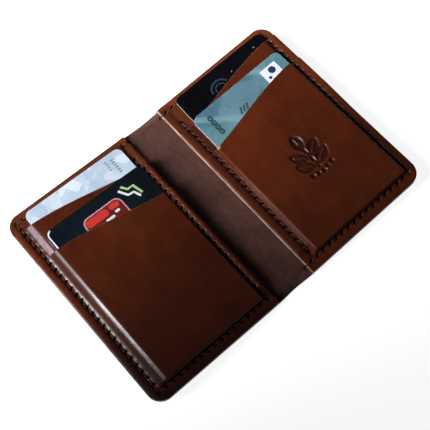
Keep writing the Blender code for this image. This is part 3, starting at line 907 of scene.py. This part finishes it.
class Shader:
    """A principled material whose inputs are fed by small node expressions."""

    def __init__(self, name):
        self.material = bpy.data.materials.new(name)
        self.material.use_nodes = True
        self.tree = self.material.node_tree
        self.surface = self.tree.nodes["Principled BSDF"]
        self.place = self.tree.nodes.new("ShaderNodeTexCoord").outputs["Object"]
        self.normal = None

    def feed(self, socket, value):
        if isinstance(value, bpy.types.NodeSocket):
            self.tree.links.new(value, socket)
        elif hasattr(socket.default_value, "__len__") and len(value) == 3 < len(socket.default_value):
            socket.default_value = (*value, 1.0)
        else:
            socket.default_value = value

    def node(self, kind, inputs, output=0, **settings):
        node = self.tree.nodes.new("ShaderNode" + kind)
        put(node, **settings)
        for key, value in inputs.items():
            self.feed(node.inputs[key], value)
        return node.outputs[output]

    def noise(self, size, detail=3.0, rough=0.55, stretch=(1.0, 1.0, 1.0), shift=0.0, warp=0.0):
        where = self.node("Mapping", {"Vector": self.place, "Scale": stretch,
                                      "Location": (shift, shift, 0.0)})
        return self.node("TexNoise", {"Vector": where, "Scale": 1.0 / (size * MM), "Detail": detail,
                                      "Roughness": rough, "Distortion": warp})

    def cells(self, size, output=0):
        return self.node("TexVoronoi", {"Vector": self.place, "Scale": 1.0 / (size * MM)}, output)

    def span(self, value, low, high, to_low=0.0, to_high=1.0):
        return self.node("MapRange", {"Value": value, "From Min": low, "From Max": high,
                                      "To Min": to_low, "To Max": to_high})

    def swing(self, noise, low, high):
        """Spreads the middle of a noise's range between two values."""
        return self.span(noise, 0.3, 0.7, low, high)

    def mix(self, share, first, second, blend="MIX"):
        return self.node("MixRGB", {"Fac": share, "Color1": first, "Color2": second},
                         blend_type=blend)

    def tint(self, colour, by):
        return self.mix(1.0, colour, by, "MULTIPLY")

    def times(self, first, second):
        return self.node("Math", {0: first, 1: second}, operation="MULTIPLY")

    def add(self, *values):
        total = values[0]
        for value in values[1:]:
            total = self.node("Math", {0: total, 1: value}, operation="ADD")
        return total

    def attribute(self, name):
        return self.node("Attribute", {}, 2, attribute_name=name)

    def bump(self, height, distance):
        inputs = {"Height": height, "Distance": distance * MM, "Strength": 1.0}
        if self.normal is not None:
            inputs["Normal"] = self.normal
        self.normal = self.node("Bump", inputs)

    def finish(self, colour, roughness, **others):
        self.feed(self.surface.inputs["Base Color"], colour)
        self.feed(self.surface.inputs["Roughness"], roughness)
        for name, value in others.items():
            self.feed(self.surface.inputs[name.replace("_", " ")], value)
        if self.normal is not None:
            self.feed(self.surface.inputs["Normal"], self.normal)
        return self.material


def grain_leather(name, deep, bright, gloss, coat=0.05):
    """Waxed, wet-formed full-grain leather with pull-up clouds, pores and creases."""
    s = Shader(name)
    clouds = s.noise(24, 4.0, 0.6, shift=0.31)
    streaks = s.noise(5, 4.0, 0.6, stretch=(1.0, 0.35, 1.0))
    tone = s.add(s.times(clouds, 0.65), s.times(streaks, 0.35))
    colour = s.mix(s.span(tone, 0.36, 0.64), deep, bright)
    colour = s.tint(colour, s.swing(s.noise(0.7, 2.0), 0.90, 1.08))
    shade, wax = s.attribute("shade"), s.attribute("wax")
    colour = s.tint(colour, shade)
    s.bump(s.span(s.cells(0.5), 0.0, 0.5), 0.005)
    s.bump(s.noise(1.1, 3.0, 0.5), 0.010)
    s.bump(s.noise(8.0, 2.0, 0.5, shift=0.11), 0.14)
    rough = s.add(s.swing(s.noise(3.5, 4.0), gloss - 0.04, gloss + 0.08),
                  s.span(shade, 0.4, 1.0, 0.16, 0.0), s.span(wax, 0.0, 1.0, 0.50, 0.0))
    return s.finish(colour, rough, Coat_Weight=s.times(wax, coat), Coat_Roughness=0.2,
                    Specular_IOR_Level=s.times(wax, 0.30))


def flesh_leather(name, deep, bright):
    """The napped flesh side: matte, fibrous, with scuffs."""
    s = Shader(name)
    clouds = s.noise(15, 4.0, 0.6)
    fibres = s.noise(0.45, 6.0, 0.7, warp=1.5)
    strands = s.noise(1.2, 5.0, 0.7, stretch=(1.0, 0.28, 1.0), warp=2.0)
    tone = s.add(s.times(clouds, 0.4), s.times(fibres, 0.3), s.times(strands, 0.3))
    colour = s.tint(s.mix(s.span(tone, 0.36, 0.64), deep, bright), s.attribute("shade"))
    s.bump(fibres, 0.14)
    s.bump(strands, 0.30)
    return s.finish(colour, s.swing(fibres, 0.82, 0.98), Sheen_Weight=0.25,
                    Sheen_Roughness=0.5, Sheen_Tint=(0.75, 0.55, 0.5), Specular_IOR_Level=0.25)


def mottled(name, deep, bright, size, rough, relief, fibre=0.6, band=(0.3, 0.7),
            stretch=(1.0, 1.0, 1.0), **others):
    """A surface whose colour, gloss and relief follow one noise."""
    s = Shader(name)
    grain = s.noise(size, 4.0, fibre, stretch)
    s.bump(grain, relief)
    return s.finish(s.mix(s.span(grain, *band), deep, bright), s.swing(grain, *rough), **others)


def burnished_edge(name, deep, bright):
    return mottled(name, deep, bright, 1.3, (0.28, 0.5), 0.07, 0.6, (0.35, 0.65),
                   (0.35, 0.35, 3.0), Coat_Weight=0.25, Coat_Roughness=0.3)


def waxed_thread(name, deep, bright):
    return mottled(name, deep, bright, 0.22, (0.65, 0.85), 0.03, 0.7, Sheen_Weight=0.1,
                   Specular_IOR_Level=0.12)


def print_ink(name, deep, bright):
    return mottled(name, deep, bright, 0.6, (0.25, 0.4), 0.006)


def raw_edge(name, deep, bright, sheen=0.2):
    s = Shader(name)
    fibres = s.noise(0.5, 6.0, 0.75, warp=1.0)
    tone = s.add(s.times(fibres, 0.55), s.times(s.noise(6, 3.0), 0.45))
    s.bump(fibres, 0.12)
    return s.finish(s.mix(s.span(tone, 0.38, 0.62), deep, bright), 0.85, Sheen_Weight=sheen,
                    Specular_IOR_Level=0.1)


def card_plastic(name, deep, bright, facets=None, facet_size=9, rays=0.0, rough=0.26):
    """Laminated card: a soft printed blend, with facets or rays of a lighter tint over it."""
    s = Shader(name)
    colour = s.mix(s.span(s.noise(30, 2.0, 0.4, warp=0.8), 0.38, 0.62), deep, bright)
    if facets:
        pick = s.node("SeparateColor", {"Color": s.cells(facet_size, 1)})
        colour = s.mix(s.span(pick, 0.60, 1.0, 0.0, 0.9 - rays), colour, facets)
    if rays:
        wave = s.node("TexWave", {"Vector": s.place, "Scale": 15.0, "Distortion": 2.0,
                                  "Detail": 0.0}, 1, bands_direction="DIAGONAL")
        colour = s.mix(s.span(wave, 0.93, 1.0, 0.0, rays), colour, facets)
    grain = s.noise(0.25, 2.0)
    colour = s.tint(colour, s.swing(grain, 0.97, 1.02))
    s.bump(s.noise(9, 2.0), 0.03)
    s.bump(grain, 0.004)
    return s.finish(colour, s.swing(s.noise(5, 3.0), rough - 0.05, rough + 0.08),
                    Coat_Weight=0.3, Coat_Roughness=0.12)


def make_materials():
    """Materials by name. Each has its maker, its deepest and its brightest tint."""
    looks = {
        "shell": (grain_leather, (0.042, 0.009, 0.0036), (0.072, 0.0155, 0.0055), 0.36),
        "base": (grain_leather, (0.072, 0.015, 0.005), (0.112, 0.025, 0.0078), 0.30),
        "pocket": (grain_leather, (0.062, 0.0105, 0.003), (0.104, 0.019, 0.005), 0.27),
        "flesh": (flesh_leather, (0.044, 0.0165, 0.0115), (0.122, 0.050, 0.036)),
        "back": (flesh_leather, (0.060, 0.026, 0.015), (0.11, 0.050, 0.030)),
        "edge": (burnished_edge, (0.030, 0.009, 0.0045), (0.070, 0.022, 0.010)),
        "cut": (raw_edge, (0.30, 0.17, 0.11), (0.58, 0.40, 0.29)),
        "dark_cut": (raw_edge, (0.060, 0.024, 0.014), (0.15, 0.070, 0.045)),
        # near black: painted shade on the walls of the awl holes
        "hole": (raw_edge, (0.008, 0.003, 0.0018), (0.020, 0.0075, 0.0045), 0.0),
        "lip": (raw_edge, (0.10, 0.040, 0.020), (0.21, 0.095, 0.052)),
        "thread": (waxed_thread, (0.072, 0.021, 0.009), (0.130, 0.041, 0.018)),
        "silver": (card_plastic, (0.50, 0.62, 0.76), (0.66, 0.77, 0.88), (0.84, 0.92, 0.98), 5.5),
        "black": (card_plastic, (0.0022, 0.0042, 0.007), (0.004, 0.008, 0.013)),
        "dark": (card_plastic, (0.0006, 0.0004, 0.0014), (0.0014, 0.001, 0.003)),
        "teal": (card_plastic, (0.068, 0.160, 0.215), (0.120, 0.265, 0.290), (0.24, 0.38, 0.43),
                 22, 0.6),
        "card_core": (print_ink, (0.62, 0.62, 0.62), (0.80, 0.80, 0.80)),
        "white_ink": (print_ink, (0.72, 0.75, 0.80), (0.88, 0.90, 0.93)),
        "grey_ink": (print_ink, (0.16, 0.22, 0.27), (0.28, 0.36, 0.42)),
        "navy_ink": (print_ink, (0.010, 0.022, 0.10), (0.020, 0.045, 0.17)),
        "slate_ink": (print_ink, (0.02, 0.045, 0.05), (0.04, 0.08, 0.09)),
        "blue_ink": (print_ink, (0.012, 0.022, 0.045), (0.03, 0.05, 0.09)),
        "red_ink": (print_ink, (0.55, 0.030, 0.022), (0.72, 0.055, 0.035)),
        "wine_ink": (print_ink, (0.11, 0.009, 0.010), (0.18, 0.016, 0.016)),
        "pink_ink": (print_ink, (0.50, 0.24, 0.28), (0.66, 0.36, 0.40)),
        "green_ink": (print_ink, (0.35, 0.60, 0.24), (0.50, 0.75, 0.36)),
    }
    return {name: maker(name, *tints) for name, (maker, *tints) in looks.items()}


# --- painted light and shade, and polish -------------------------------------

def leather_shade(panel):
    """Darker in the seams, round the holes, in the pressed emblem and on the right's inner strip.
    Painted light and shade: the rim lighter towards the top and darker at the bottom, with painted
    sheen; a painted highlight on the left's inner strip; painted shade towards the left's lower end
    and on its outer ramp; a painted sheen near the right pocket's mouth.
    """
    left = panel.side < 0
    # painted light along the rim: lighter towards the top, darker at the bottom, and lighter on the
    # right with painted sheen
    rim_light_bottom, rim_light_top = (0.55, 1.35) if left else (1.05, 1.75)
    inset = panel.half_width - panel.side_seam

    def shade(u, v, w):
        rim, inner = panel.seam_distance(u, v)
        seam = bell(np.minimum(rim, inner), 1.3)
        hole = bell(panel.hole_distance(u, v), 1.15)
        outside = smooth(inset - 1.0 - panel.rim_distance(u, v))
        painted_rim_light = rim_light_bottom + (rim_light_top - rim_light_bottom) * smooth((v + 50) / 80)
        value = (1.0 - 0.08 * seam - 0.22 * hole) * (1.0 + outside * (painted_rim_light - 1.0))
        inside = w > panel.shell_top + 0.5
        if left:
            strip = 1.0 - smooth(u - panel.inner_seam + 1.2)
            ramp = smooth(u - panel.front_card[1][0]) * smooth(panel.side_seam - u)
            # painted highlight on the left's inner strip
            value *= 1.0 + 0.6 * strip * inside
            # painted shade: darker towards the lower end, where the light falls off
            value *= 1.0 - 0.28 * smooth(-v / 30) * inside
            # painted shade on the outer ramp, under its sheen
            return value * (1.0 - 0.25 * ramp * (v < panel.front_mouth(u)) * inside)
        # painted sheen: a lighter patch near the right pocket's mouth
        pale = bell(np.hypot(u - 24, v - 8), 15)
        strip = 1.0 - smooth(u - panel.inner_seam + 0.8)
        value *= 1.0 - 0.60 * emblem(u, v) * (w > panel.front_plateau)
        value *= 1.0 + 0.28 * pale * inside
        return value * (1.0 - 0.26 * strip * inside)
    return shade


def leather_wax(panel):
    """The polish left: 1 on most leather, more on crests and less on slack or worn skin."""
    def right(u, v, w):
        ramp = bell(u - (panel.inner_seam + panel.front_card[0][0]) / 2, 2.2)
        worn = ramp * (0.7 + 0.3 * smooth((15 - v) / 40))
        edge = (1.0 - smooth(u - panel.pocket_edge - 1.0)) * (u > panel.base_edge)
        return 1.0 - 0.70 * np.maximum(worn, 1.2 * edge) * (w > panel.shell_top)

    def left(u, v, w):
        foot = panel.side_seam - RAMP_OFFSET
        share = (foot - u) / (foot - panel.front_card[1][0])
        rear = (foot - u) / (foot - panel.rear_card[1][0])
        on_front = (v < panel.front_mouth(u)) * (w > panel.flange)
        on_rear = (v > panel.front_mouth(u)) * (v < panel.rear_mouth(u)) * (w > panel.flange)
        low_end = smooth((v + 49) / 22) * on_front
        slack = smooth((share - 0.05) / 0.2) * (1.0 - smooth((share - 0.62) / 0.16)) * on_front
        crest = bell(share - 0.92, 0.20) * (0.5 + 0.5 * smooth((v + 30) / 40))
        toe = bell(share - 0.02, 0.14)
        rear_ramp = smooth(rear / 0.3) * (1.0 - smooth((rear - 1.1) / 0.2)) * on_rear
        polish = (3.0 * crest + 1.8 * toe) * low_end + 4.6 * rear_ramp
        return (1.0 - 0.55 * slack) * (1.0 + polish)
    return left if panel.side < 0 else right


# --- assembly ----------------------------------------------------------------

def build_panel(panel, materials, designs):
    name = panel.name

    def wear(obj, *looks):
        for look in looks:
            obj.data.materials.append(materials[look])

    def stand_for(obj, node, body=panel.body):
        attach(obj, body)
        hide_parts(name + "_" + node)

    # every sheet is cut by the same slots, so that they line up through the stack
    rows = panel.rim_rows() + panel.inner_rows()
    slots = prisms(name + "_slots", panel, rows, 0.56 * panel.shell_top, 12)
    blind = prisms(name + "_blind_slots", panel, rows, -3, 0.46 * panel.shell_top)
    fine = prisms(name + "_fine_slots", panel, panel.pocket_rows(), panel.shell_top,
                  panel.flange + 4 * panel.thickness)
    cutters = (slots, blind, fine)
    shell, start, end = make_shell(panel)
    base, rear = make_base(panel), make_rear_pocket(panel)
    front = make_front_pocket(panel, panel.side > 0)
    for cutter in cutters:
        wear(cutter, "hole")
    wear(shell, "flesh", "shell", "edge")
    wear(base, "base", "back", "edge", "cut")
    wear(rear, "pocket", "back", "edge", "dark_cut", "lip", "cut")
    wear(front, "pocket", "back", "edge", "dark_cut", "lip", "cut")
    cut(shell, blind)
    for obj in (shell, base, rear, front):
        cut(obj, slots)
        paint(obj, panel, shade=leather_shade(panel), wax=leather_wax(panel))
    cut(rear, fine)
    for cutter in cutters:
        bpy.data.objects.remove(cutter)

    near, far = [(panel.side * at * MM, 0.0, 0.0) for at in (start, end)]
    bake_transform(shell)
    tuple(near)
    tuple(far)
    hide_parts(name + "_cover", "spine")
    stand_for(base, "base")
    stand_for(rear, "rear_pocket")
    stand_for(front, "front_pocket")
    for seam, obj in make_threads(panel):
        wear(obj, "thread")
        stand_for(obj, seam + "_thread")
    for piece in ("rear_card", "front_card"):
        node = name + "_" + piece
        plastic, inks, marks = designs[node]
        obj = make_card(panel, piece, marks)
        wear(obj, plastic, "card_core", *inks)
        stand_for(obj, piece, node)


# --- studio ------------------------------------------------------------------

def make_floor(level):
    bpy.ops.mesh.primitive_plane_add(size=6.0, location=(0.0, 0.0, level))
    floor = bpy.context.object
    floor.name = "studio_floor"
    s = Shader("pale_floor")
    tone = s.swing(s.noise(300.0, 2.0), 0.86, 0.90)
    seen = s.node("LightPath", {}, "Is Camera Ray")
    floor.data.materials.append(s.finish(tone, 0.9, Emission_Color=(1.0, 1.0, 1.0),
                                         Emission_Strength=s.span(seen, 0.0, 1.0, 0.30, 0.87)))
    floor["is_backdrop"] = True


def make_world():
    """Pale where the camera sees it past the floor, dim as a light."""
    world = bpy.data.worlds.new("studio")
    bpy.context.scene.world = world
    world.use_nodes = True
    nodes, links = world.node_tree.nodes, world.node_tree.links
    path, span = nodes.new("ShaderNodeLightPath"), nodes.new("ShaderNodeMapRange")
    span.inputs["To Min"].default_value = 0.05
    nodes["Background"].inputs["Color"].default_value = (0.80, 0.88, 1.0, 1.0)
    links.new(path.outputs["Is Camera Ray"], span.inputs["Value"])
    links.new(span.outputs[0], nodes["Background"].inputs["Strength"])


def add_lamp(name, place, target, power, colour, spread, **settings):
    data = bpy.data.lights.new(name, "AREA")
    put(data, energy=power, color=colour, spread=math.radians(spread), **settings)
    facing = (Vector(target) - Vector(place)).to_track_quat("-Z", "Y")
    put(link(name, data), location=place, rotation_euler=facing.to_euler())


def make_lights():
    add_lamp("window", (-0.189, 0.159, 0.170), (0.20, 0.15, 0.0), 1.05, (0.97, 0.98, 1.0), 60.0,
             shape="DISK", size=0.36)
    # a narrow beam whose mirror image lies on the left panel's outer ramp
    add_lamp("glint", (-0.19, 0.075, 0.21), (-0.09, 0.005, 0.005), 0.0058, (0.86, 0.84, 1.0), 25.0,
             shape="RECTANGLE", size=0.18, size_y=0.08)


def make_camera():
    data = bpy.data.cameras.new("camera")
    put(data, lens=CAMERA_LENS, clip_start=0.01)
    camera = link("camera", data)
    azimuth, elevation = math.radians(CAMERA_AZIMUTH), math.radians(CAMERA_ELEVATION)
    back = Vector((math.sin(azimuth) * math.cos(elevation),
                   -math.cos(azimuth) * math.cos(elevation), math.sin(elevation)))
    facing = (-back).to_track_quat("-Z", "Y").to_matrix().to_4x4()
    camera.matrix_world = (Matrix.Translation((Vector(CAMERA_TARGET) + back * CAMERA_DISTANCE) * MM)
                           @ facing @ Matrix.Rotation(math.radians(CAMERA_ROLL), 4, "Z"))
    bpy.context.scene.camera = camera


def save_sizes():
    visual_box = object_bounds()
    return visual_box


materials = make_materials()
designs = card_designs()
for name in ("left", "right"):
    build_panel(Panel(name), materials, designs)
bpy.context.scene.view_settings.view_transform = "Standard"
make_world()
make_lights()
make_camera()
make_floor(save_sizes()[0].z - CONTACT * MM)
